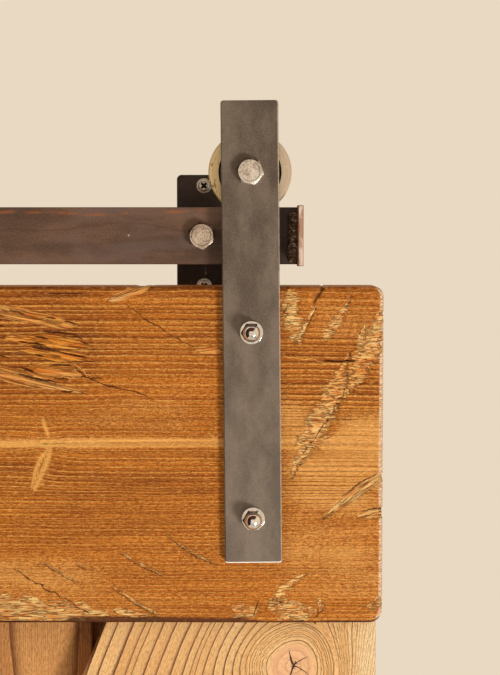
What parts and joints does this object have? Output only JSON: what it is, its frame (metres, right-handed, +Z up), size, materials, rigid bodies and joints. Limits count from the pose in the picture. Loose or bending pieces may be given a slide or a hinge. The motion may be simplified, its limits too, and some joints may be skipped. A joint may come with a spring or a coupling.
{
  "type": "sliding barn door on a flat-bar track",
  "caption": "Plank-and-brace barn door that slides on grooved wheels along an exposed flat-bar track with strap hangers.",
  "frame": {"origin": "centre of the middle wall plate's back face, on the plane of the wall", "axes": "+X along the track to the right, +Y into the wall, +Z up; the door hangs on the -Y side"},
  "size_m": [2.0645, 0.1535, 2.3287],
  "materials": {
    "stained_wood": "honey stain, rough hewn, open grain",
    "board_wood": "oiled softwood",
    "brace_wood": "light softwood with strong grain",
    "track_steel": "hot-rolled flat bar, oxidised and lightly rusted",
    "strap_steel": "hot-rolled flat bar with grey mill scale",
    "weld_steel": "weld bead as laid",
    "plate_black": "black oxide",
    "bright_zinc": "bright zinc plate",
    "polished_zinc": "polished plate",
    "yellow_zinc": "turned steel, yellow zinc plate",
    "bearing_steel": "ground bearing steel",
    "cage_brass": "turned brass"
  },
  "bodies": {
    "track": {"track_bar": "track_steel", "end_stop_left": "track_steel", "end_stop_right": "track_steel", "stop_weld_left": "weld_steel", "stop_weld_right": "weld_steel", "wall_plate_far_left": "plate_black", "wall_plate_left": "plate_black", "wall_plate_middle": "plate_black", "wall_plate_right": "plate_black", "wall_plate_far_right": "plate_black", "wall_tube_far_left": "plate_black", "wall_tube_left": "plate_black", "wall_tube_middle": "plate_black", "wall_tube_right": "plate_black", "wall_tube_far_right": "plate_black", "tube_welds": "weld_steel", "track_bolts": "bright_zinc", "wall_screws": "bright_zinc"},
    "door": {"top_rail": "stained_wood", "bottom_rail": "stained_wood", "brace": "brace_wood", "board_1": "board_wood", "board_2": "board_wood", "board_3": "board_wood", "board_4": "board_wood", "strap_left": "strap_steel", "strap_right": "strap_steel", "board_screws": "bright_zinc", "door_bolts": "bright_zinc", "back_washers": "bright_zinc", "front_washers": "bright_zinc", "dome_nuts": "polished_zinc", "axle_bolts": "bright_zinc", "axle_spacers": "bright_zinc", "axle_washers": "bright_zinc", "axle_nuts": "bright_zinc", "bearing_inner_ring_left": "bearing_steel", "bearing_inner_ring_right": "bearing_steel"},
    "wheel_left": {"wheel_left": "yellow_zinc", "bearing_outer_ring_left": "bearing_steel", "bearing_balls_left": "bearing_steel", "bearing_cage_left": "cage_brass"},
    "wheel_right": {"wheel_right": "yellow_zinc", "bearing_outer_ring_right": "bearing_steel", "bearing_balls_right": "bearing_steel", "bearing_cage_right": "cage_brass"}
  },
  "joints": [
    {"name": "door_slide", "type": "slide", "parent": "track", "child": "door", "axis": [1, 0, 0], "range_m": [-1.2279, 0.0123]},
    {"name": "wheel_left_spin", "type": "hinge", "parent": "door", "child": "wheel_left", "pos_m": [0.248, -0.063, 0.0442], "axis": [0, 1, 0], "continuous": true},
    {"name": "wheel_right_spin", "type": "hinge", "parent": "door", "child": "wheel_right", "pos_m": [0.967, -0.063, 0.0442], "axis": [0, 1, 0], "continuous": true}
  ],
  "couplings": [
    {"joint": "wheel_left_spin", "follows": "door_slide", "rad_per_m": 41.667},
    {"joint": "wheel_right_spin", "follows": "door_slide", "rad_per_m": 41.667}
  ]
}
